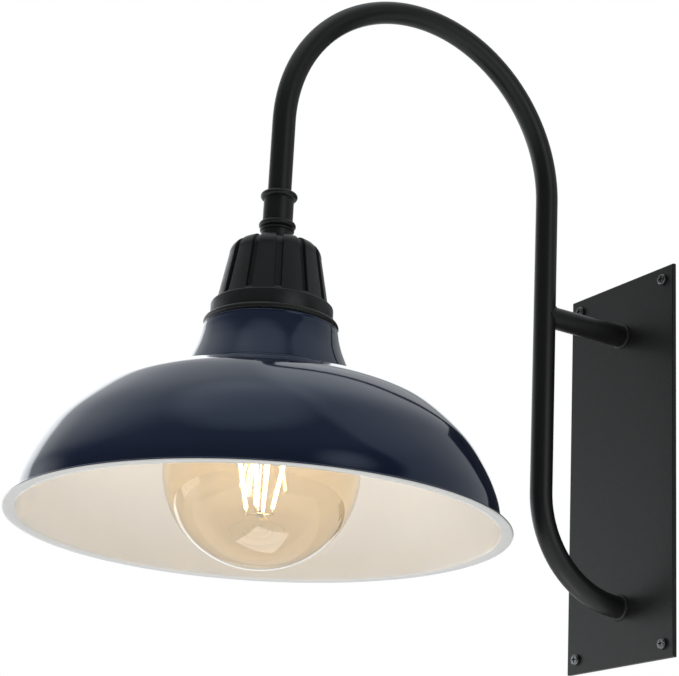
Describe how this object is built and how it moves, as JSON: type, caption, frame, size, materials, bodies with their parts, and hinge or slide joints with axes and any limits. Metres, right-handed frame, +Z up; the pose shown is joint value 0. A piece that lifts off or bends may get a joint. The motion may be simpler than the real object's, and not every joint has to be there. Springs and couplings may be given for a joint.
{
  "type": "outdoor wall lantern",
  "caption": "Barn-style wall lantern: tall backplate, gooseneck arm with strut, ribbed cap, flared dome shade and a lift-out globe lamp.",
  "frame": {"origin": "centre of the backplate's back face, which rests on the wall", "axes": "+Z up the wall, +Y into the wall, -Y out into the room, X along the plate's width"},
  "size_m": [0.3236, 0.4665, 0.4517],
  "materials": {
    "black_coat": "satin powder coat",
    "screw_black": "gloss black",
    "cast_black": "satin powder coat over a casting",
    "black_plastic": "matte",
    "zinc_steel": "zinc plated",
    "gasket_rubber": "matte, slightly grainy",
    "navy_enamel": "deep gloss navy outside, white inside",
    "ground_green": "green plated",
    "porcelain": "white glaze",
    "socket_brass": "bright stamped",
    "wire_black": "matte insulation",
    "wire_white": "matte insulation",
    "wire_green": "matte insulation",
    "amber_glass": "thin amber-tinted blown glass",
    "nickel_brass": "nickel plated, rolled thread",
    "dark_glass": "glossy dark vitrite",
    "solder_tip": "soldered",
    "clear_glass": "clear glass mount",
    "glowing_phosphor": "yellow phosphor sticks, lit",
    "bright_wire": "bright support wire",
    "board_green": "circuit board"
  },
  "bodies": {
    "fixture": {"backplate": "black_coat", "plate_screws": "screw_black", "gooseneck_tube": "black_coat", "strut_tube": "black_coat", "weld_beads": "black_coat", "wire_bushing": "black_plastic", "collar": "black_coat", "collar_set_screw": "zinc_steel", "nipple": "zinc_steel", "nipple_locknuts": "zinc_steel", "cap": "cast_black", "fitter_ring": "cast_black", "shade_gasket": "gasket_rubber", "shade": "navy_enamel", "retaining_ring": "zinc_steel", "clamp_screws": "zinc_steel", "socket_bracket": "zinc_steel", "socket_screws": "zinc_steel", "ground_screw": "ground_green", "socket_body": "porcelain", "socket_shell": "socket_brass", "socket_centre_contact": "socket_brass", "terminal_posts": "socket_brass", "live_wire": "wire_black", "neutral_wire": "wire_white", "ground_wire": "wire_green"},
    "bulb": {"bulb_glass": "amber_glass", "bulb_base_shell": "nickel_brass", "bulb_base_insulator": "dark_glass", "bulb_base_contact": "solder_tip", "bulb_stem": "clear_glass", "filaments": "glowing_phosphor", "filament_support": "bright_wire", "lead_wires": "bright_wire", "driver_board": "board_green"}
  },
  "joints": [
    {"name": "bulb_out", "type": "slide", "parent": "fixture", "child": "bulb", "axis": [0, 0, -1], "range_m": [0, 0.16]}
  ]
}
